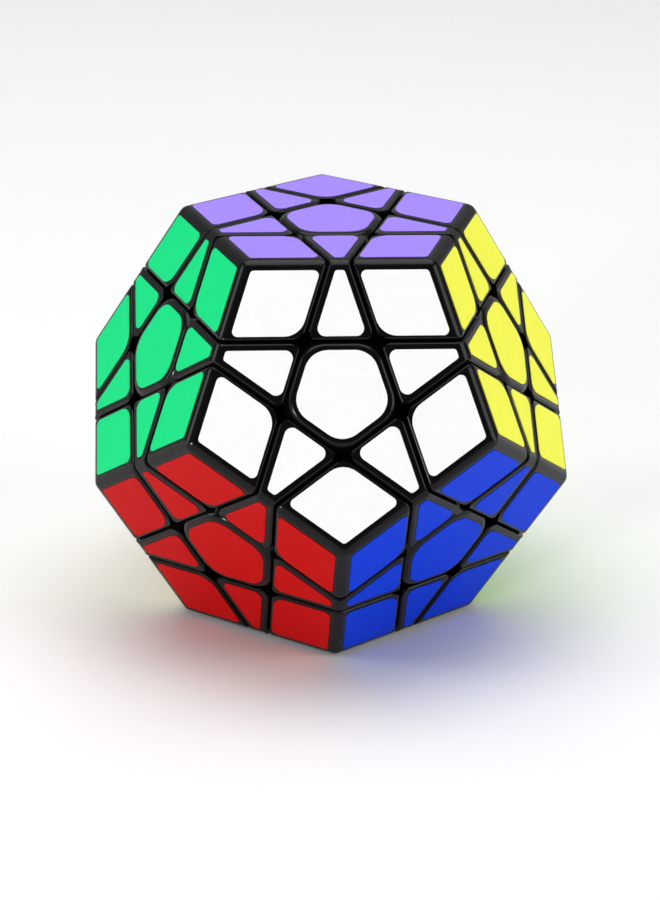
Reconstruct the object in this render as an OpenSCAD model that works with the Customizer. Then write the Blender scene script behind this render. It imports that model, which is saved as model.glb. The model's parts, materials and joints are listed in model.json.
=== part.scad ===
// Twelve-sided turning puzzle: a core with twelve sprung centres, thirty edge pieces
// and twenty corner pieces that hook under each other and turn in layers about the
// twelve face axes. The origin is the middle of the core. The top face points up +Z,
// and the puzzle rests on the opposite face.

/* [Overall] */
// Length of one edge of the twelve-sided body
edge_len = 32; // [26:1:42]
// Width of an edge piece where it meets the body's ridge
tip_w = 2.9; // [2:0.1:4.5]
// Gap between neighbouring pieces
gap = 0.3; // [0.2:0.05:0.5]
// How much of the sharp ridge is rounded away
ridge_trim = 0.35; // [0.1:0.05:0.8]
// How much of the sharp corner is rounded away
corner_trim = 1.2; // [0.5:0.1:2]
// Wall of the hollow edge and corner blocks
wall = 1.6; // [1.2:0.1:2.4]

/* [Hooks] */
// Half angle of the cone that cuts the necks of the pieces
neck_angle = 42; // [40.5:0.5:44]
// How far below the cut plane the round top of the necks stops
neck_lip = 0.8; // [0.5:0.1:1.2]
// Half angle of the wider cone that cuts their feet
foot_angle = 50; // [48:0.5:52]
// Thickness of the feet, from the core outwards
foot_t = 5; // [3.5:0.5:6]
// How far the top of the feet stands above the cut plane, on the face axis
foot_rise = 0.75; // [0:0.25:1.5]

/* [Centres] */
// Thickness of the cap that closes a centre
cap_t = 2.4; // [1.6:0.2:3.2]
// Depth of the cap's locating plug
plug_h = 0.8; // [0.5:0.1:1.2]
// Glue line between a cap and its centre
seam = 0.06; // [0.04:0.01:0.1]
// Radius of the cup that holds the spring
cup_r = 2.8; // [2.3:0.1:3.4]
// Floor of the cup, which the spring presses down
floor_t = 3; // [2:0.5:4]

/* [Screws and springs] */
// Radius of the screw's shank
screw_r = 1.25; // [0.9:0.05:1.4]
// Play of the screw's thread in the core
thread_play = 0.05; // [0.02:0.01:0.1]
// Height of the screw's head
head_h = 1.8; // [1.2:0.1:2.4]
// Depth of the cross recess in the head
recess_h = 0.9; // [0.6:0.1:1.2]
// Width of the slots of the cross recess
recess_w = 0.6; // [0.4:0.1:0.8]
// Free height between a screw's head and the cap's plug
head_clear = 0.5; // [0.3:0.1:1]
// Play round the parts inside the cup
cup_play = 0.3; // [0.2:0.05:0.5]
// Thickness of the washer
washer_t = 0.6; // [0.4:0.1:1]
// Thickness of the spring's wire
wire_t = 0.7; // [0.5:0.1:0.8]
// Gap between the spring and the floor of the cup
spring_gap = 0.1; // [0.05:0.05:0.3]
// Thread length held by the core
thread_l = 7; // [4:0.5:9]

/* [Core] */
// Gap between the core and the feet
core_gap = 0.3; // [0.2:0.05:0.5]
// Wall of the hollow core
core_wall = 2.6; // [2:0.2:4]
// Wall round a screw's hole in the core
boss_wall = 1.9; // [1.4:0.1:2.5]
// Radius of the pegs that line up the two halves
peg_r = 0.8; // [0.6:0.1:1]
// Length of a peg in each half
peg_l = 2.6; // [2:0.2:3.5]
// Play round a peg in its holes
peg_play = 0.03; // [0.02:0.01:0.1]
// Room at each end of a peg
peg_room = 0.1; // [0.05:0.05:0.3]

/* [Hidden] */
$fn = 48;
// a hair's breadth, between faces that would otherwise lie in one plane
e = 0.02;
// Angles of a regular dodecahedron: between the axes of neighbouring faces, from the
// middle of an edge to its faces and to its end faces, and from a corner to its faces
// and to its ridges.
FACE_FACE = 2 * atan((sqrt(5) - 1) / 2);
EDGE_FACE = FACE_FACE / 2;
EDGE_END = acos(cos(FACE_FACE) / cos(EDGE_FACE));
CORNER_FACE = acos(sqrt((5 + 2 * sqrt(5)) / 15));
CORNER_RIDGE = acos((3 + sqrt(5)) / 4 / (sqrt(3) * (1 + sqrt(5)) / 4));
RING = 90 - FACE_FACE;
// the faces at the ends of an edge piece, and those round a centre
ENDS = [[EDGE_END, 90], [EDGE_END, -90]];
NEXT = [for (a = [0:72:288]) [FACE_FACE, a]];

face_r = edge_len * sqrt(250 + 110 * sqrt(5)) / 20;
ridge_r = edge_len * (3 + sqrt(5)) / 4;
corner_r = edge_len * sqrt(3) * (1 + sqrt(5)) / 4;
// the cut runs this far inside a face's edge, and so deep under the face
cut_in = (edge_len - tip_w) / 2 * sin(72);
cut_h = face_r - cut_in * sin(FACE_FACE);
neck_top = cut_h / cos(neck_angle);
neck_r = neck_top - neck_lip;
feet_r = cut_h + foot_rise;
inner_r = feet_r - foot_t;
core_r = inner_r - core_gap;
cup_top = face_r - cap_t;
cup_floor = inner_r + floor_t;
head_top = cup_top - plug_h - head_clear;
head_r = cup_r - cup_play;
screw_end = core_r - thread_l;
washer_top = head_top - head_h - e;
washer_low = washer_top - washer_t;
spring_low = cup_floor + spring_gap;
reach = corner_r + 5;

// every face: its colour's name, and the azimuth and elevation of its axis
FACES = [
    ["purple", 0, 90],
    ["white", -90, RING],
    ["yellow", -18, RING],
    ["orange", 54, RING],
    ["sky", 126, RING],
    ["green", 198, RING],
    ["blue", -54, -RING],
    ["lime", 18, -RING],
    ["grey", 90, -RING],
    ["cream", 162, -RING],
    ["red", 234, -RING],
    ["pink", 0, -90]
];
BOTTOM = 11;
function axis(i) = [
    cos(FACES[i][2]) * cos(FACES[i][1]),
    cos(FACES[i][2]) * sin(FACES[i][1]),
    sin(FACES[i][2])
];
function meet(i, j) = axis(i) * axis(j) > 0.4;
EDGES = [for (i = [0:10]) for (j = [i + 1:11]) if (meet(i, j)) [i, j]];
CORNERS = [for (p = EDGES) for (k = [p[1] + 1:1:11])
    if (meet(p[0], k) && meet(p[1], k)) [p[0], p[1], k]];
function bottom_edge(i) = [for (p = EDGES) if (p[0] == i && p[1] == BOTTOM) p];
function bottom_corner(p) = [for (c = CORNERS)
    if (c[0] == p[0] && c[1] == p[1] && c[2] == BOTTOM) c];

// A piece of the bottom face shares a node with the piece that it turns with.
function hue(i) = FACES[i][0];
function centre_name(i) = len(bottom_edge(i)) > 0
    ? str(hue(i), "_centre_and_bottom_edge")
    : str(hue(i), "_centre");
function edge_name(p) = len(bottom_corner(p)) > 0
    ? str(hue(p[0]), "_", hue(p[1]), "_edge_and_bottom_corner")
    : str(hue(p[0]), "_", hue(p[1]), "_edge");
function corner_name(c) = str(hue(c[0]), "_", hue(c[1]), "_", hue(c[2]), "_corner");
TOP_EDGES = [for (p = EDGES) if (p[1] != BOTTOM) p];
TOP_CORNERS = [for (c = CORNERS) if (c[2] != BOTTOM) c];

// Stands its child, drawn along +Z, along the direction up, with its +X towards the
// direction beside.
module stand(up, beside) {
    z = up / norm(up);
    flat = beside - (beside * z) * z;
    x = flat / norm(flat);
    y = cross(z, x);
    multmatrix([
        [x[0], y[0], z[0], 0],
        [x[1], y[1], z[1], 0],
        [x[2], y[2], z[2], 0]
    ])
        children();
}

module toward(tilt, azimuth) {
    rotate([0, tilt, azimuth]) children();
}

// Everything above a height, as far as the body reaches.
module beyond(low, high = reach) {
    translate([-reach, -reach, low]) cube([2 * reach, 2 * reach, high - low]);
}

// One face's slab along +Z: above the cut plane and below the face.
module slab(inset = 0) {
    beyond(cut_h + gap / 2 + inset, face_r - inset);
}

// A cone about +Z with its point at the origin, shrunk all round by inset.
module cone(angle, inset, low, high) {
    shift = inset / sin(angle);
    translate([0, 0, low])
        cylinder(
            r1 = (low - shift) * tan(angle),
            r2 = (high - shift) * tan(angle),
            h = high - low
        );
}

module own_neck() {
    intersection() {
        cone(neck_angle, gap / 2, inner_r / 2, neck_top);
        sphere(r = neck_r - gap / 2);
    }
}

module own_foot() {
    cone(foot_angle, gap / 2, inner_r / 3, feet_r);
}

// Cuts from its child all that turning faces sweep, grown by half the gap. Each face
// is given by the tilt and azimuth of its axis.
module clear_of(faces, grow = 0) {
    out = gap / 2 + grow;
    difference() {
        difference() {
            difference() {
                children();
                for (f = faces) toward(f[0], f[1]) beyond(cut_h - out, 3 * reach);
            }
            for (f = faces) intersection() {
                toward(f[0], f[1]) cone(neck_angle, -out, inner_r / 2, neck_top);
                sphere(r = neck_r + out);
            }
        }
        for (f = faces) intersection() {
            toward(f[0], f[1]) cone(foot_angle, -out, inner_r / 2, feet_r + 1);
            sphere(r = feet_r + out);
        }
    }
}

// Hook of a piece: its neck and its foot, without the ball that the core turns in.
module hooked() {
    difference() {
        union() {
            intersection_for(i = [0:$own - 1])
                toward($tilt, 360 / $own * i) own_neck();
            intersection() {
                intersection_for(i = [0:$own - 1])
                    toward($tilt, 360 / $own * i) own_foot();
                sphere(r = feet_r - gap / 2);
            }
        }
        sphere(r = inner_r);
    }
}

module corner_block(inset = 0) {
    intersection() {
        intersection_for(a = [0, 120, 240]) toward(CORNER_FACE, a) slab(inset);
        beyond(0, corner_r - corner_trim - inset);
        intersection_for(a = [60, 180, 300])
            toward(CORNER_RIDGE, a) beyond(0, ridge_r - ridge_trim - inset);
    }
}

// Corner piece along +Z: inside the layers of its three faces.
module corner_piece() {
    color("#17171a") difference() {
        union() {
            corner_block();
            hooked($own = 3, $tilt = CORNER_FACE);
        }
        corner_block(wall);
    }
}

module edge_block(inset = 0) {
    intersection() {
        toward(EDGE_FACE, 0) slab(inset);
        toward(EDGE_FACE, 180) slab(inset);
        beyond(0, ridge_r - ridge_trim - inset);
    }
}

// Edge piece along +Z: inside the layers of its two faces, outside those of the faces
// at its ends.
module edge_piece() {
    color("#17171a") difference() {
        clear_of(ENDS) union() {
            edge_block();
            hooked($own = 2, $tilt = EDGE_FACE);
        }
        clear_of(ENDS, wall) edge_block(wall);
    }
}

// Centre along +Z: outside the layers of the five faces round it, with a cup for the
// spring and a hole for the screw.
module centre_piece() {
    color("#17171a") difference() {
        clear_of(NEXT) cylinder(r = cut_h * tan(neck_angle), h = cup_top - seam);
        sphere(r = inner_r);
        translate([0, 0, cup_floor]) cylinder(r = cup_r, h = reach);
        cylinder(r = screw_r + cup_play, h = reach);
    }
}

module centre_cap() {
    color("#17171a") difference() {
        union() {
            translate([0, 0, cup_top]) cylinder(r = cut_h * tan(neck_angle), h = cap_t);
            translate([0, 0, cup_top - plug_h])
                cylinder(r = cup_r - seam, h = plug_h + e);
        }
        for (f = NEXT) toward(f[0], f[1]) beyond(cut_h - gap / 2, 3 * reach);
    }
}

module centre_place(i) {
    beside = [for (j = [0:11]) if (j != i && meet(i, j)) axis(j)][0];
    stand(axis(i), beside) {
        centre_piece();
        centre_cap();
    }
    for (p = bottom_edge(i)) edge_place(p);
}

module edge_place(p) {
    stand(axis(p[0]) + axis(p[1]), axis(p[0])) edge_piece();
    for (c = bottom_corner(p)) corner_place(c);
}

module corner_place(c) {
    stand(axis(c[0]) + axis(c[1]) + axis(c[2]), axis(c[0])) corner_piece();
}

// Puts its child, drawn along +Z, on each of the twelve face axes.
module on_each_axis() {
    for (i = [0:11])
        rotate([0, 90 - FACES[i][2], FACES[i][1]]) children();
}

// Pan-head screw with a cross recess, turned into the core.
module screws() {
    color("#b9bcc0") on_each_axis() difference() {
        union() {
            translate([0, 0, screw_end]) cylinder(r = screw_r, h = head_top - screw_end - e);
            translate([0, 0, head_top - head_h]) cylinder(r = head_r, h = head_h);
        }
        for (a = [0, 90]) rotate([0, 0, a])
            translate([-head_r * 0.6, -recess_w / 2, head_top - recess_h])
                cube([head_r * 1.2, recess_w, head_h]);
    }
}

module washers() {
    color("#c9ccd0") on_each_axis() translate([0, 0, washer_low]) difference() {
        cylinder(r = head_r, h = washer_t);
        translate([0, 0, -1]) cylinder(r = screw_r + cup_play / 2, h = washer_t + 2);
    }
}

// Compression springs, as the tubes that their coils fill.
module springs() {
    color("#9a9ea3") on_each_axis() translate([0, 0, spring_low]) difference() {
        cylinder(r = head_r, h = washer_low - e - spring_low);
        translate([0, 0, -1]) cylinder(r = head_r - wire_t, h = neck_top);
    }
}

function peg_at(k) = (core_r - core_wall / 2) * [cos(90 * k), sin(90 * k), 0];

// The whole core: a hollow ball with a boss for each screw.
module core_ball() {
    difference() {
        union() {
            difference() {
                sphere(r = core_r);
                sphere(r = core_r - core_wall);
            }
            intersection() {
                sphere(r = core_r - e);
                on_each_axis() translate([0, 0, screw_end - 1])
                    cylinder(r = screw_r + boss_wall, h = core_r);
            }
        }
        on_each_axis() translate([0, 0, screw_end - 0.5])
            cylinder(r = screw_r + thread_play, h = core_r);
        for (k = [0:3]) translate(peg_at(k) - [0, 0, peg_l + peg_room])
            cylinder(r = peg_r + peg_play, h = 2 * (peg_l + peg_room));
    }
}

module core_upper() {
    color("#2b2b2e") intersection() {
        core_ball();
        translate([-reach, -reach, 0.03]) cube([2 * reach, 2 * reach, reach]);
    }
}

module core_lower() {
    color("#2b2b2e") intersection() {
        core_ball();
        translate([-reach, -reach, -reach - 0.03]) cube([2 * reach, 2 * reach, reach]);
    }
}

module core_pegs() {
    color("#77797d") for (k = [0:3]) translate(peg_at(k) - [0, 0, peg_l])
        cylinder(r = peg_r, h = 2 * peg_l);
}

core_upper();
core_lower();
core_pegs();
screws();
washers();
springs();
for (i = [0:11])
    centre_place(i);
for (p = TOP_EDGES)
    edge_place(p);
for (c = TOP_CORNERS)
    corner_place(c);
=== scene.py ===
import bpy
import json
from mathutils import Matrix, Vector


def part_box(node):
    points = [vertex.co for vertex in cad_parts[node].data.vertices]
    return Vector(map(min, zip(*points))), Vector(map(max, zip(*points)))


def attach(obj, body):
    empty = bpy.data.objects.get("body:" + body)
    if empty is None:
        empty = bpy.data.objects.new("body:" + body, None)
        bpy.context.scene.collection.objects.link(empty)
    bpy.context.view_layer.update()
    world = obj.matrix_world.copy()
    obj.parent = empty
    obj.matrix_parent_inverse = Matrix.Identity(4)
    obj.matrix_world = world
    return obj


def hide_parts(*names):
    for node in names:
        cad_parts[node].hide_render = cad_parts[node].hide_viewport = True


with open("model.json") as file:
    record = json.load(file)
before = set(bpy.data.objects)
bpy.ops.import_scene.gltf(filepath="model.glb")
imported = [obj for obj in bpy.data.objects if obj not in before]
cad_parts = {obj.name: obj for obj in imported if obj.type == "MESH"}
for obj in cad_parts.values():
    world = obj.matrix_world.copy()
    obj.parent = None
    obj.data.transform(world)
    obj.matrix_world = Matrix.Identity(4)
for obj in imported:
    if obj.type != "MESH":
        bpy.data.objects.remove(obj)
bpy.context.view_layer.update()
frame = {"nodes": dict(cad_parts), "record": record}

import json

import bpy
import numpy as np
from mathutils import Matrix, Quaternion, Vector

MM = 0.001

# --- Table and lights ---------------------------------------------------------------
# A white sweep of paper, lit from a large softbox above, two at the sides and a small one
# in front, so that the gloss of the plastic shows broad pale reflections.

FACE_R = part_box("purple_centre")[1].z  # from the middle of the puzzle to a face
EDGE_LEN = 20 * FACE_R / np.sqrt(250 + 110 * np.sqrt(5))


class Shade:
    """A value in a material's node tree. Arithmetic on it adds Math nodes."""

    def __init__(self, tree, socket):
        self.tree = tree
        self.socket = socket

    def node(self, kind, settings=None, output=0, **inputs):
        """Adds a node: its settings first, then its sockets' values or links."""
        made = self.tree.nodes.new(kind)
        for key, value in (settings or {}).items():
            if key == "stops":
                ramp = made.color_ramp.elements
                for stop, (place, colour) in zip(ramp, value):
                    stop.position, stop.color = place, colour
                for place, colour in value[2:]:
                    ramp.new(place).color = colour
            else:
                setattr(made, key, value)
        for key, value in inputs.items():
            name = key.replace("_", " ")
            socket = made.inputs[int(key[1:])] if key[1:].isdigit() else made.inputs[name]
            if isinstance(value, Shade):
                self.tree.links.new(value.socket, socket)
            else:
                socket.default_value = value
        return Shade(self.tree, made.outputs[output])

    def math(self, operation, a, b):
        return self.node("ShaderNodeMath", {"operation": operation}, i0=a, i1=b)

    def __add__(self, other):
        return self.math("ADD", self, other)

    def __radd__(self, other):
        return self.math("ADD", other, self)

    def __sub__(self, other):
        return self.math("SUBTRACT", self, other)

    def __rsub__(self, other):
        return self.math("SUBTRACT", other, self)

    def __mul__(self, other):
        return self.math("MULTIPLY", self, other)

    def __rmul__(self, other):
        return self.math("MULTIPLY", other, self)

    def above(self, low, high):
        """0 below low, 1 over high, and smooth between them."""
        return self.node(
            "ShaderNodeMapRange",
            {"interpolation_type": "SMOOTHSTEP"},
            Value=self, From_Min=low, From_Max=high,
        )

    def blend(self, a, b):
        """Colour a where this is 0 and colour b where it is 1."""
        made = self.tree.nodes.new("ShaderNodeMix")
        made.data_type = "RGBA"
        self.tree.links.new(self.socket, made.inputs[0])
        for socket, colour in ((made.inputs[6], a), (made.inputs[7], b)):
            if isinstance(colour, Shade):
                self.tree.links.new(colour.socket, socket)
            else:
                socket.default_value = (*colour, 1)
        return Shade(self.tree, made.outputs[2])


def new_material(name, **constants):
    """A material with one Principled shader. Gives its name, its place and its shader."""
    material = bpy.data.materials.new(name)
    material.use_nodes = True
    shader = material.node_tree.nodes["Principled BSDF"]
    for key, value in constants.items():
        shader.inputs[key.replace("_", " ")].default_value = value
    made = material.node_tree.nodes.new("ShaderNodeTexCoord")
    place = Shade(material.node_tree, made.outputs["Object"])
    return material, place, shader


def noise(place, size, detail=2.0, roughness=0.5):
    """Noise whose blotches are about size across."""
    return place.node(
        "ShaderNodeTexNoise", Vector=place, Scale=1 / size, Detail=detail,
        Roughness=roughness,
    )


def wire(shader, **links):
    for key, value in links.items():
        value.tree.links.new(value.socket, shader.inputs[key.replace("_", " ")])


def skin(name, rings):
    """A closed surface through rings of points. rings[i, j] is point j of ring i; the first
    and the last ring are single points repeated, and become the two poles."""
    count, around = rings.shape[:2]
    inner = rings[1:-1].reshape(-1, 3)
    points = np.vstack([rings[0, :1], inner, rings[-1, :1]])
    j = np.arange(around)
    k = (j + 1) % around
    i = np.arange(count - 3)[:, None] * around + 1
    quads = np.stack([i + j, i + k, i + around + k, i + around + j], -1).reshape(-1, 4)
    last = (count - 3) * around + 1
    low = np.stack([np.zeros_like(j), k + 1, j + 1], -1)
    high = np.stack([np.full_like(j, len(points) - 1), last + j, last + k], -1)
    first = points[quads[:, 0]]
    volume = np.einsum(
        "ij,ij->i", first, np.cross(points[quads[:, 1]], points[quads[:, 2]])
    ).sum()
    faces = [*quads.tolist(), *low.tolist(), *high.tolist()]
    if volume < 0:
        faces = [face[::-1] for face in faces]
    mesh = bpy.data.meshes.new(name)
    mesh.from_pydata(points.tolist(), [], faces)
    mesh.validate()
    mesh.shade_smooth()
    return mesh


def place_piece(name, mesh, turn, material):
    """A new object of the mesh, turned about the origin by the 3 by 3 matrix turn."""
    mesh = mesh.copy()
    mesh.name = name
    mesh.transform(Matrix(turn.tolist()).to_4x4())
    piece = bpy.data.objects.new(name, mesh)
    bpy.context.scene.collection.objects.link(piece)
    mesh.materials.append(material)
    return piece


paper, place, shader = new_material("sweep_paper", Roughness=0.75)
grain = noise(place, 0.6 * MM, 3)
wire(
    shader,
    Base_Color=noise(place, 0.2, 2).blend((0.91, 0.91, 0.912), (0.94, 0.94, 0.94)),
    Normal=place.node("ShaderNodeBump", Height=grain, Strength=0.04, Distance=0.0002),
)


def sweep(u, v):
    """The paper: flat under the puzzle, then a quarter circle up to a wall behind.
    u runs across, v from front to back; past the bend the height grows with v."""
    bend, radius = 0.9, 0.6
    angle = np.clip((v - bend) / radius, 0, np.pi / 2)
    rise = np.maximum(v - bend - radius * np.pi / 2, 0)
    y = np.minimum(v, bend) + radius * np.sin(angle)
    z = radius * (1 - np.cos(angle)) + rise - FACE_R
    return np.stack([u, y, z], -1)


u, v = np.meshgrid(np.linspace(-8, 8, 33), np.linspace(-8, 4.5, 251))
grid = sweep(u, v)
n = grid.shape[1]
corner = (np.arange(len(grid) - 1)[:, None] * n + np.arange(n - 1)).ravel()
sheet = bpy.data.meshes.new("paper_sweep")
sheet.from_pydata(
    grid.reshape(-1, 3).tolist(), [],
    np.stack([corner, corner + 1, corner + n + 1, corner + n], -1).tolist(),
)
sheet.shade_smooth()
sheet.materials.append(paper)
floor = bpy.data.objects.new("paper_sweep", sheet)
bpy.context.scene.collection.objects.link(floor)


def softbox(name, place, size, power):
    lamp = bpy.data.lights.new(name, "AREA")
    lamp.shape = "RECTANGLE"
    lamp.size, lamp.size_y = size
    lamp.energy = power
    made = bpy.data.objects.new(name, lamp)
    made.location = place
    made.rotation_euler = (-Vector(place)).to_track_quat("-Z", "Y").to_euler()
    bpy.context.scene.collection.objects.link(made)


softbox("top_softbox", (0.0, 0.15, 0.95), (1.1, 0.9), 8.4)
softbox("front_softbox", (-0.75, -0.95, 0.15), (0.17, 0.17), 6.4)
softbox("left_softbox", (-0.95, -0.1, 0.35), (0.3, 0.8), 3.2)
softbox("right_softbox", (0.9, -0.35, 0.3), (0.5, 0.8), 4.3)

# the room is dim on the camera's side and bright round the paper
world = bpy.data.worlds.new("studio")
bpy.context.scene.world = world
world.use_nodes = True
tree = world.node_tree
direction = Shade(tree, tree.nodes.new("ShaderNodeTexCoord").outputs["Generated"])
depth = direction.node("ShaderNodeSeparateXYZ", output=1, Vector=direction)
background = tree.nodes["Background"]
background.inputs["Color"].default_value = (1, 1, 1, 1)
tree.links.new((0.07 + 0.3 * depth.above(-0.6, 0.5)).socket, background.inputs["Strength"])
bpy.context.scene.view_settings.view_transform = "Standard"

camera = bpy.data.cameras.new("camera")
camera.lens = 112.9
camera.clip_start = 0.01
camera.shift_x = 0.002
camera.shift_y = -0.046
eye = bpy.data.objects.new("camera", camera)
bpy.context.scene.collection.objects.link(eye)
azimuth, elevation, roll = np.radians([-94.0, 22.2, 0.9])
distance = 0.5025
out = Vector((
    np.cos(elevation) * np.cos(azimuth),
    np.cos(elevation) * np.sin(azimuth),
    np.sin(elevation),
))
eye.location = out * distance
aim = out.to_track_quat("Z", "Y") @ Quaternion((0, 0, 1), roll)
eye.rotation_euler = aim.to_euler()
bpy.context.scene.camera = eye

# --- Corner pieces ------------------------------------------------------------------
# Twenty hollow blocks of glossy black plastic, each with three outer faces and a foot
# that hooks under the edge pieces. Moulded in two halves, snapped together inside.

GAP = 0.3 * MM  # between neighbouring pieces
TIP_W = 2.9 * MM  # width of an edge piece at the body's ridge
STICKER_T = 0.12 * MM
RIM = 0.55 * MM  # roundness of the rims round the outer faces
RIDGE = 2.1 * MM  # roundness of the body's ridges
INNER_CORNER = 3.0 * MM  # how far a corner block's inner corner is cut back
CORNER_HOOK_TOP = 33.5 * MM  # where the hook ends inside the block
NECK_ANGLE, FOOT_ANGLE = np.radians([42, 50])
FOOT_T, FOOT_RISE, NECK_LIP = 5 * MM, 0.75 * MM, 0.8 * MM

FACE_FACE = 2 * np.arctan((np.sqrt(5) - 1) / 2)  # between neighbouring faces' axes
FIFTHS = np.radians([0, 72, 144, 216, 288])  # directions of a face's five sides
RING = np.degrees(np.pi / 2 - FACE_FACE)  # elevation of the upper ring of faces
FACE_IN = EDGE_LEN / 2 / np.tan(np.pi / 5)  # from a face's middle to its edges
CUT_IN = (EDGE_LEN - TIP_W) / 2 * np.sin(np.radians(72))  # from an edge to the cut
CUT_H = FACE_R - CUT_IN * np.sin(FACE_FACE)  # from the middle of the puzzle to a cut plane
NECK_R = CUT_H / np.cos(NECK_ANGLE) - NECK_LIP  # where a neck ends
FEET_R = CUT_H + FOOT_RISE  # top of the feet
INNER_R = FEET_R - FOOT_T  # underside of the feet
BLOCK_R = FACE_R - STICKER_T  # from the middle of the puzzle to the plastic's faces
FACE_CUT = FACE_IN - CUT_IN  # from a face's middle to its cuts

# every face: its colour's name, and the azimuth and elevation of its axis
FACES = {
    "purple": (0, 90), "white": (-90, RING), "yellow": (-18, RING), "orange": (54, RING),
    "sky": (126, RING), "green": (198, RING), "blue": (-54, -RING), "lime": (18, -RING),
    "grey": (90, -RING), "cream": (162, -RING), "red": (234, -RING), "pink": (0, -90),
}


def from_angles(azimuth, elevation):
    a, e = np.radians([azimuth, elevation])
    return np.array([np.cos(e) * np.cos(a), np.cos(e) * np.sin(a), np.sin(e)])


AXIS = {name: from_angles(*angles) for name, angles in FACES.items()}
NAMES = list(FACES)


def meet(one, other):
    """Two neighbouring faces' axes are 63 degrees apart, and others' at least 117."""
    return one != other and AXIS[one] @ AXIS[other] > 0


def neighbour(face):
    return next(other for other in NAMES if meet(face, other))


EDGES = [(a, b) for i, a in enumerate(NAMES) for b in NAMES[i + 1:] if meet(a, b)]
CORNERS = [
    (a, b, c) for a, b in EDGES for c in NAMES[NAMES.index(b) + 1:]
    if meet(a, c) and meet(b, c)
]


def stand(up, beside):
    """Turns +Z to the direction up, and +X towards the direction beside."""
    z = up / np.linalg.norm(up)
    x = beside - (beside @ z) * z
    x = x / np.linalg.norm(x)
    return np.stack([x, np.cross(z, x), z], -1)


def tilted(tilt, turn):
    """The direction at the angle tilt from +Z and the angle turn about it."""
    return np.array([np.sin(tilt) * np.cos(turn), np.sin(tilt) * np.sin(turn), np.cos(tilt)])


def cut_block(name, planes, rounding):
    """A convex block: the points p with p @ normal <= offset for every plane, as
    (kind, normal, offset). Its corners are where three planes meet, inside all others.
    An edge between planes of two kinds is rounded by rounding[kinds], both ways round."""
    normals = np.array([plane[1] for plane in planes])
    offsets = np.array([plane[2] for plane in planes])
    i, j, k = np.array(
        [(a, b, c) for a in range(len(planes)) for b in range(a) for c in range(b)]
    ).T
    triples = normals[np.stack([i, j, k], -1)]
    sound = np.abs(np.linalg.det(triples)) > 1e-6
    points = np.linalg.solve(
        triples[sound], offsets[np.stack([i, j, k], -1)][sound][..., None]
    )[..., 0]
    points = points[(points @ normals.T <= offsets + 1e-9).all(1)]
    points = np.unique(np.round(points, 9), axis=0)
    on = np.abs(points @ normals.T - offsets) < 1e-8
    faces = []
    for normal, touching in zip(normals, on.T):
        ring = np.flatnonzero(touching)
        middle = points[ring].mean(0)
        x = points[ring[0]] - middle
        y = np.cross(normal, x)
        arm = points[ring] - middle
        faces.append(ring[np.argsort(np.arctan2(arm @ y, arm @ x))].tolist())
    mesh = bpy.data.meshes.new(name)
    mesh.from_pydata(points.tolist(), [], faces)
    ends = np.zeros(len(mesh.edges) * 2, int)
    mesh.edges.foreach_get("vertices", ends)
    ends = ends.reshape(-1, 2)
    shared = on[ends[:, 0]] & on[ends[:, 1]]
    kinds = [tuple(planes[p][0] for p in np.flatnonzero(row)[:2]) for row in shared]
    widths = np.array([rounding.get(pair, rounding.get(pair[::-1], 0)) for pair in kinds])
    weights = mesh.attributes.new("bevel_weight_edge", "FLOAT", "EDGE")
    weights.data.foreach_set("value", widths / widths.max())
    mesh.shade_smooth()
    block = bpy.data.objects.new(name, mesh)
    bpy.context.scene.collection.objects.link(block)
    bevel = block.modifiers.new("rounding", "BEVEL")
    bevel.limit_method = "WEIGHT"
    bevel.width = widths.max()
    bevel.segments = 5
    bevel.use_clamp_overlap = False
    bevel.harden_normals = True
    bevel.miter_outer = "MITER_SHARP"
    depsgraph = bpy.context.evaluated_depsgraph_get()
    done = bpy.data.meshes.new_from_object(block.evaluated_get(depsgraph))
    bpy.data.objects.remove(block)
    return done


def layer_angle(distance, steps_out):
    """Half angle of a face's layer at a distance from the middle: the foot's cone, the
    neck's cone, and then the cut plane, CUT_H along the face's axis. The steps between
    them are moved out by steps_out."""
    if distance < FEET_R + steps_out:
        return FOOT_ANGLE
    if distance < NECK_R + steps_out:
        return NECK_ANGLE
    return np.arccos(CUT_H / distance)


def spread(own, others, turn, distance):
    """How far a piece reaches from its own axis, as an angle, in the direction turn.
    A face's layer holds the points within its half angle of that face's axis. With R and
    p from cos(tilt) = R cos p and sin(tilt) cos(turn) = R sin p, the layer's two sides lie
    at p - acos(cos(half angle) / R) and p + acos(cos(half angle) / R). A piece stays
    inside the layers of its own faces and outside those of the others, by half a gap."""
    nearest = np.full_like(turn, np.pi)
    for faces, side in ((own, 1), (others, -1)):
        edge = np.cos(layer_angle(distance, -side * GAP / 2))
        for tilt, at in faces:
            a, b = np.cos(tilt), np.sin(tilt) * np.cos(turn - at)
            size = np.hypot(a, b)
            reach = np.arctan2(b, a) + side * np.arccos(np.clip(edge / size, -1, 1))
            missed = (side < 0) & ((size <= edge) | (reach <= 0))
            nearest = np.minimum(nearest, np.where(missed, np.pi, reach))
    return nearest - GAP / 2 / distance


def hook_rings(own, others, levels, around=96):
    """Rings of a piece's hook. A ring is at a distance from the middle of the puzzle, and
    runs at a share of the piece's spread there."""
    turn = np.linspace(0, 2 * np.pi, around, endpoint=False)
    rings = []
    for distance, share in levels:
        tilt = share * spread(own, others, turn, distance)
        rings.append(distance * np.stack(
            [np.sin(tilt) * np.cos(turn), np.sin(tilt) * np.sin(turn), np.cos(tilt)], -1
        ))
    return np.array(rings)


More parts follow.
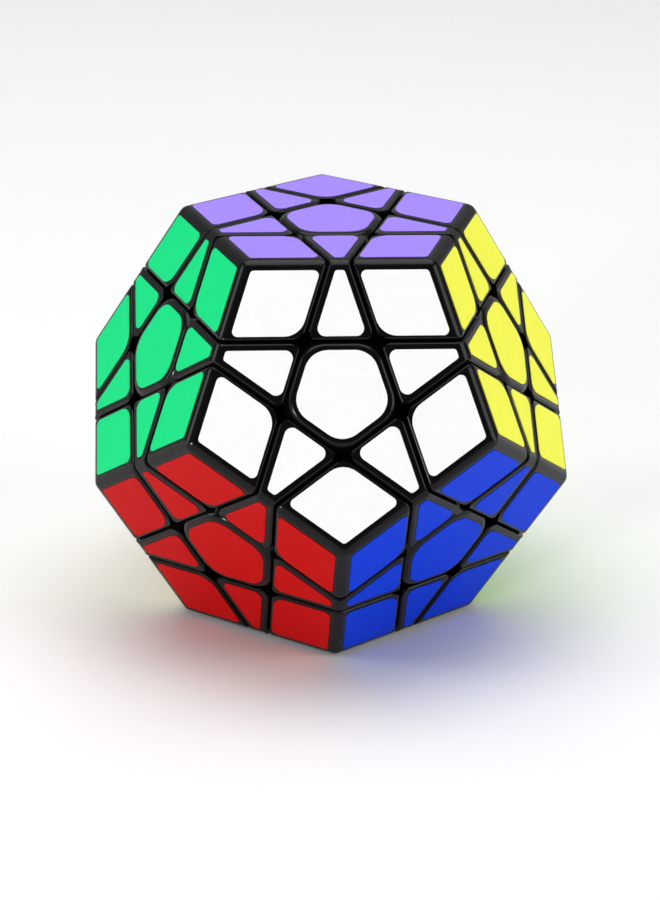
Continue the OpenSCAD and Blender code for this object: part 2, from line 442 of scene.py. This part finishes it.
def hook_levels(top):
    """(distance, share) up a hook: the hollow underside of the foot, its rounded rim, its
    shoulder under the neighbours, the neck, and the end inside the block."""
    low, shoulder = INNER_R, FEET_R - GAP / 2
    hair = 0.005 * MM  # a step is two rings this far to each side of it
    foot = [(low, 0), (low, 0.4), (low, 0.75), (low, 0.95), (low + 0.12 * MM, 0.985)]
    foot += [(low + 0.4 * MM, 1), (shoulder - 0.4 * MM, 1), (shoulder - 0.1 * MM, 0.985)]
    foot += [(shoulder - hair, 0.95)]
    steps = [FEET_R - GAP / 2, FEET_R + GAP / 2, NECK_R - GAP / 2, NECK_R + GAP / 2]
    stem = [step + side for step in steps for side in (-hair, hair)]
    stem += [*np.linspace(FEET_R, NECK_R, 6)[2:-1], (NECK_R + top) / 2, top]
    return foot + [(distance, 1) for distance in sorted(stem)[1:]] + [(top, 0.5), (top, 0)]


black, place, shader = new_material(
    "glossy_black_plastic", IOR=1.5, Specular_IOR_Level=0.13, Coat_Roughness=0.07
)
mottle = noise(place, 7 * MM, 3)
grain = noise(place, 0.22 * MM, 2)
scuff = noise(place, 0.9 * MM, 6, 0.75).above(0.6, 0.78)
wire(
    shader,
    Base_Color=(scuff * 0.35).blend((0.003, 0.003, 0.0033), (0.018, 0.018, 0.02)),
    Roughness=0.17 + 0.09 * mottle + 0.16 * scuff,
    Coat_Weight=0.14 - 0.1 * scuff,
    Normal=place.node("ShaderNodeBump", Height=grain, Strength=0.2, Distance=0.00004),
)

# between the axis of a corner piece and those of its faces
CORNER_FACE = np.arccos(np.sqrt((5 + 2 * np.sqrt(5)) / 15))
own = [(CORNER_FACE, turn) for turn in np.radians([0, 120, 240])]
corner_block = cut_block(
    "corner_block",
    [("face", tilted(*face), BLOCK_R) for face in own]
    + [("cut", -tilted(*face), -CUT_H - GAP / 2) for face in own],
    {
        ("face", "face"): RIDGE * np.tan(FACE_FACE / 2),
        ("face", "cut"): RIM / np.tan(FACE_FACE / 2),
        ("cut", "cut"): INNER_CORNER,
    },
)
corner_hook = skin("corner_hook", hook_rings(own, [], hook_levels(CORNER_HOOK_TOP)))


def body_and_node(*faces):
    """The CAD body and node of a piece, by the faces that it shows. A piece of the bottom
    face rides with the piece above it, on the body of its other faces."""
    rest = [face for face in faces if face != "pink"]
    kind = {1: "face", 2: "edge", 3: "corner"}[max(len(rest), 1)]
    body = "core" if not rest else "_".join([*rest, kind])
    nodes = frame["record"]["behaviour"]["bodies"][body]
    node = next(n for n in nodes if not n.startswith(("core", "screw", "wash", "spring")))
    return body, node


def add_piece(name, faces, parts, turn):
    """Places a piece's block and hook, and lets them ride on its body."""
    body, node = body_and_node(*faces)
    for part, mesh in parts.items():
        piece = place_piece(f"{name}_{part}", mesh, turn, black)
        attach(piece, body)
        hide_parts(node)


for a, b, c in CORNERS:
    turn = stand(AXIS[a] + AXIS[b] + AXIS[c], AXIS[a])
    parts = {"block": corner_block, "hook": corner_hook}
    add_piece(f"{a}_{b}_{c}_corner", (a, b, c), parts, turn)

# --- Edge pieces --------------------------------------------------------------------
# Thirty hollow blocks of the same plastic, with two outer faces that narrow towards the
# ridge between them. A wide foot hooks under the centres, and carries the corner pieces.

EDGE_CORNER = 2.3 * MM  # how far an edge block's upright corners are cut back
EDGE_LOW = 30.2 * MM  # lowest plane of the block, where its hook takes over
HOOK_TOP = 33 * MM  # where the hook ends inside the block

# between the axis of an edge piece and those of the two faces at its ends
EDGE_END = np.arccos(np.cos(FACE_FACE) / np.cos(FACE_FACE / 2))
own = [(FACE_FACE / 2, 0), (FACE_FACE / 2, np.pi)]
ends = [(EDGE_END, np.pi / 2), (EDGE_END, -np.pi / 2)]
edge_block = cut_block(
    "edge_block",
    [("face", tilted(*face), BLOCK_R) for face in own]
    + [("cut", -tilted(*face), -CUT_H - GAP / 2) for face in own]
    + [("end", tilted(*face), CUT_H - GAP / 2) for face in ends]
    + [("low", np.array([0, 0, -1]), -EDGE_LOW)],
    {
        ("face", "face"): RIDGE * np.tan(FACE_FACE / 2),
        ("face", "cut"): RIM / np.tan(FACE_FACE / 2),
        ("face", "end"): RIM * np.tan(FACE_FACE / 2),
        ("cut", "end"): EDGE_CORNER,
    },
)
edge_hook = skin("edge_hook", hook_rings(own, ends, hook_levels(HOOK_TOP)))

for a, b in EDGES:
    turn = stand(AXIS[a] + AXIS[b], AXIS[a])
    parts = {"block": edge_block, "hook": edge_hook}
    add_piece(f"{a}_{b}_edge", (a, b), parts, turn)

# --- Centres ------------------------------------------------------------------------
# Twelve five-sided pieces, each held to the core by a sprung screw inside its cup. A cap
# of the same plastic, pressed into the cup, closes it.

CENTRE_CORNER = 4.9 * MM  # roundness of a centre's upright corners
CENTRE_LOW = 29.4 * MM  # where the straight sides end and the neck begins
CENTRE_RIM = 0.6 * MM
CAP_T, PLUG_H = 2.4 * MM, 0.8 * MM
CUP_R, FLOOR_T, HOLE_R = 2.8 * MM, 3 * MM, 1.55 * MM
CUP_ROUND = 0.2 * MM


def five_sided(turn, inner, rounding):
    """Radius of a rounded pentagon in the direction turn. With q the angle to the nearest
    side's middle, a side is at inner / cos q, and a corner is a circle of the given
    rounding whose middle is (inner - rounding) / cos 36 out."""
    q = np.abs((turn + np.pi / 5) % (2 * np.pi / 5) - np.pi / 5)
    out = (inner - rounding) / np.cos(np.pi / 5)
    off = np.pi / 5 - q
    arc = out * np.cos(off) + np.sqrt(
        np.maximum(rounding**2 - (out * np.sin(off)) ** 2, 0)
    )
    straight = q < np.arctan((inner - rounding) * np.tan(np.pi / 5) / inner)
    return np.where(straight, inner / np.cos(q), arc)


def centre_rings(around=120):
    """Rings of a centre, from the top of its cup, down the cup and out of the screw's
    hole, out over the foot, up the neck and the five sides, and in over the cap."""
    turn = np.linspace(0, 2 * np.pi, around, endpoint=False)
    compass = np.stack([np.cos(turn), np.sin(turn)], -1)

    def ring(radius, height):
        flat = compass * np.broadcast_to(radius, around)[:, None]
        return np.column_stack([flat, np.full(around, height)])

    def side(height):
        return (CUT_H - GAP / 2 - np.cos(FACE_FACE) * height) / np.sin(FACE_FACE)

    roof, cup_floor = FACE_R - CAP_T - PLUG_H, INNER_R + FLOOR_T
    cup = [(0, roof), (CUP_R - CUP_ROUND, roof), (CUP_R, roof - CUP_ROUND)]
    cup += [(CUP_R, cup_floor + CUP_ROUND), (CUP_R - CUP_ROUND, cup_floor)]
    cup += [(HOLE_R, cup_floor), (HOLE_R, np.sqrt(INNER_R**2 - HOLE_R**2))]
    inside = [ring(radius, height) for radius, height in cup]
    others = [(FACE_FACE, at) for at in FIFTHS]
    # up to the neck's end, without the two levels that lie inside a block
    stem = [level for level in hook_levels(HOOK_TOP) if level[1] == 1][:-2]
    outside = list(hook_rings([], others, [(INNER_R, 0.98), *stem], around))
    straight = []
    for height in np.linspace(CENTRE_LOW, BLOCK_R - CENTRE_RIM - 0.3 * MM, 4):
        straight.append(ring(five_sided(turn, side(height), CENTRE_CORNER), height))
    rim = []
    for bend in np.radians([0, 18, 36, 54, 72, 90]):
        height = BLOCK_R - CENTRE_RIM * (1 - np.sin(bend))
        inset = CENTRE_RIM * (1 - np.cos(bend))
        wide = side(height) - inset
        rim.append(ring(five_sided(turn, wide, CENTRE_CORNER - inset), height))
    top = [rim[-1] * [share, share, 1] for share in (0.9, 0.5, 0)]
    return np.array(inside + outside + straight + rim + top)


centre_shape = skin("centre_shape", centre_rings())
for a in NAMES:
    turn = stand(AXIS[a], AXIS[neighbour(a)])
    add_piece(f"{a}_centre", (a,), {"shell": centre_shape}, turn)

# --- Stickers -----------------------------------------------------------------------
# One die-cut vinyl sticker on each outer face of each piece, 132 in all, in twelve
# colours. They stop short of the rims, and their corners are cut round.

AT_RIDGE = 1.65 * MM  # bare plastic beside a ridge
AT_CUT = 1.15 * MM  # bare plastic beside a cut

COLOURS = {
    "purple": (0.38, 0.25, 0.98), "white": (0.93, 0.93, 0.93),
    "yellow": (0.97, 0.99, 0.08), "orange": (0.95, 0.2, 0.015),
    "sky": (0.12, 0.5, 0.93), "green": (0.003, 0.64, 0.2),
    "blue": (0.001, 0.045, 0.72), "lime": (0.3, 0.8, 0.04),
    "grey": (0.2, 0.2, 0.21), "cream": (0.95, 0.85, 0.5),
    "red": (0.48, 0.0015, 0.002), "pink": (0.95, 0.2, 0.42),
}


def outline(sides, inset, arc=9):
    """A polygon with round corners. sides are (direction, distance, corner radius), going
    round; a corner's circle lies its radius inside the two sides that meet there, and
    carries the outline from one side's direction to the next one's."""
    angle, distance, radius = np.array(sides).T
    distance, radius = distance - inset, np.maximum(radius - inset, 0.02 * MM)
    following = np.roll(angle, -1)
    bend = (following - angle) % (2 * np.pi)
    a = np.stack([np.cos(angle), np.sin(angle)], -1)
    b = np.stack([np.cos(following), np.sin(following)], -1)
    shrunk = np.stack([distance - radius, np.roll(distance, -1) - radius], -1)
    middle = np.linalg.solve(np.stack([a, b], 1), shrunk[..., None])[..., 0]
    t = angle[:, None] + bend[:, None] * np.linspace(0, 1, arc)
    circle = np.stack([np.cos(t), np.sin(t)], -1) * radius[:, None, None]
    return (middle[:, None] + circle).reshape(-1, 2)


def sticker_mesh(name, sides):
    """A thin plate carried along the outline: down its side, with a rounded upper rim."""
    rim, low = 0.07 * MM, BLOCK_R - 0.03 * MM  # the underside is a little in the plastic
    steps = [(0.5 * MM, low), (0, low), (0, FACE_R - rim)]
    for bend in np.radians([30, 60, 90]):
        steps.append((rim * (1 - np.cos(bend)), FACE_R - rim * (1 - np.sin(bend))))
    steps.append((0.35 * MM, FACE_R))
    rings = []
    for inset, height in steps:
        flat = outline(sides, inset)
        rings.append(np.column_stack([flat, np.full(len(flat), height)]))
    middle = rings[1].mean(0)[:2]
    under = np.broadcast_to([*middle, low], rings[0].shape)
    over = np.broadcast_to([*middle, FACE_R], rings[0].shape)
    mesh = skin(name, np.array([under, *rings, over]))
    mesh.shade_flat()
    return mesh


turns = np.radians([0, 72, 180, 252])
corner_sticker = sticker_mesh("corner_sticker", [
    (turns[0], FACE_IN - AT_RIDGE, 0.7 * MM),
    (turns[1], FACE_IN - AT_RIDGE, 0.9 * MM),
    (turns[2], -FACE_CUT - AT_CUT, 3.7 * MM),
    (turns[3], -FACE_CUT - AT_CUT, 0.9 * MM),
])
turns = np.radians([-72, 0, 72, 180])
edge_sticker = sticker_mesh("edge_sticker", [
    (turns[0], FACE_CUT - AT_CUT, 0.55 * MM),
    (turns[1], FACE_IN - AT_RIDGE, 0.55 * MM),
    (turns[2], FACE_CUT - AT_CUT, 1.3 * MM),
    (turns[3], -FACE_CUT - AT_CUT, 1.3 * MM),
])
centre_sticker = sticker_mesh("centre_sticker", [
    (turn, FACE_CUT - AT_CUT, 4.0 * MM) for turn in FIFTHS
])

VINYL = {}
for name, colour in COLOURS.items():
    VINYL[name], place, shader = new_material(
        f"{name}_vinyl", IOR=1.46, Specular_IOR_Level=0.08
    )
    shaded = tuple(0.93 * channel for channel in colour)
    pores = noise(place, 0.12 * MM, 2)
    waves = noise(place, 4 * MM, 1)
    wire(
        shader,
        Base_Color=noise(place, 2.5 * MM, 4).blend(shaded, colour),
        Roughness=0.36 + 0.14 * noise(place, 1.4 * MM, 4),
        Normal=place.node(
            "ShaderNodeBump", Height=0.25 * pores + waves, Strength=0.12, Distance=0.00006
        ),
    )


def add_sticker(mesh, face, beside, others):
    """Sticks a sticker on a face of the piece that also shows the other faces."""
    shown = sorted([face, *others], key=NAMES.index)
    kind = {1: "centre", 2: "edge", 3: "corner"}[len(shown)]
    name = f"{face}_sticker_on_" + "_".join([*shown, kind])
    piece = place_piece(name, mesh, stand(AXIS[face], AXIS[beside]), VINYL[face])
    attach(piece, body_and_node(*shown)[0])


for face in NAMES:
    add_sticker(centre_sticker, face, neighbour(face), [])
for pair in EDGES:
    for face, other in (pair, pair[::-1]):
        add_sticker(edge_sticker, face, other, [other])
for trio in CORNERS:
    for face in trio:
        one, other = [b for b in trio if b != face]
        # the kite is drawn from the side at 0 degrees to the one at 72
        if np.cross(AXIS[one], AXIS[other]) @ AXIS[face] < 0:
            one, other = other, one
        add_sticker(corner_sticker, face, one, [one, other])

# --- Springs ------------------------------------------------------------------------
# A coil of steel wire round each screw, between its washer and the floor of the cup. It
# pulls the centre inwards, and lets the pieces give a little as they turn.

WIRE_R = 0.33 * MM
TURNS = 7

steel, place, shader = new_material("spring_steel", Metallic=1.0)
streaks = noise(place, 0.3 * MM, 4)
wire(
    shader,
    Base_Color=streaks.blend((0.42, 0.42, 0.43), (0.6, 0.6, 0.61)),
    Roughness=0.28 + 0.15 * streaks,
)

# the top axis's own spring gives its ends and its width
co = np.array([v.co for v in frame["nodes"]["springs"].data.vertices])
upright = co[(np.hypot(co[:, 0], co[:, 1]) < 3 * MM) & (co[:, 2] > 0)]
spring_low, spring_high = upright[:, 2].min(), upright[:, 2].max()
coil_r = np.hypot(upright[:, 0], upright[:, 1]).max() - WIRE_R


def coil(steps=200, around=10):
    """A round wire carried along a helix. Its height follows a smooth step, so that the
    end turns lie nearly flat; its section is a circle across the helix's tangent."""
    t = np.linspace(0, 1, steps)
    low, high = spring_low + WIRE_R, spring_high - WIRE_R
    turn = 2 * np.pi * TURNS * t
    height = low + (high - low) * (0.6 * t + 0.4 * t * t * (3 - 2 * t))
    path = np.stack([coil_r * np.cos(turn), coil_r * np.sin(turn), height], -1)
    tangent = np.gradient(path, axis=0)
    tangent /= np.linalg.norm(tangent, axis=1, keepdims=True)
    outwards = np.stack([np.cos(turn), np.sin(turn), np.zeros(steps)], -1)
    across = np.cross(tangent, outwards)
    a = np.linspace(0, 2 * np.pi, around, endpoint=False)[:, None]
    rings = path[:, None] + WIRE_R * (
        np.cos(a) * outwards[:, None] + np.sin(a) * across[:, None]
    )
    first = np.broadcast_to(path[0], (1, around, 3))
    last = np.broadcast_to(path[-1], (1, around, 3))
    return np.concatenate([first, rings, last])


spring_shape = skin("spring_shape", coil())
for a in NAMES:
    turn = stand(AXIS[a], AXIS[neighbour(a)])
    spring = place_piece(f"{a}_spring", spring_shape, turn, steel)
    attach(spring, "core")
    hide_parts("springs")

# --- Core, screws and washers -------------------------------------------------------
# The ball that everything turns on is two matt black shells, lined up by steel pegs. Its
# twelve bosses hold the screws, which are zinc-plated like their washers.

matt, place, shader = new_material("matt_black_plastic")
pits = noise(place, 0.5 * MM, 4)
wire(
    shader,
    Base_Color=pits.blend((0.011, 0.011, 0.012), (0.02, 0.02, 0.021)),
    Roughness=0.45 + 0.2 * noise(place, 5 * MM, 3),
    Normal=place.node("ShaderNodeBump", Height=pits, Strength=0.2, Distance=0.00005),
)
zinc, place, shader = new_material("zinc_plate", Metallic=1.0)
cloud = noise(place, 1.2 * MM, 4)
wire(
    shader,
    Base_Color=cloud.blend((0.5, 0.51, 0.54), (0.66, 0.67, 0.69)),
    Roughness=0.25 + 0.2 * cloud,
)
for node, finish in {
    "core_upper": matt, "core_lower": matt, "core_pegs": zinc,
    "screws": zinc, "washers": zinc,
}.items():
    materials = frame["nodes"][node].data.materials
    materials.clear()
    materials.append(finish)
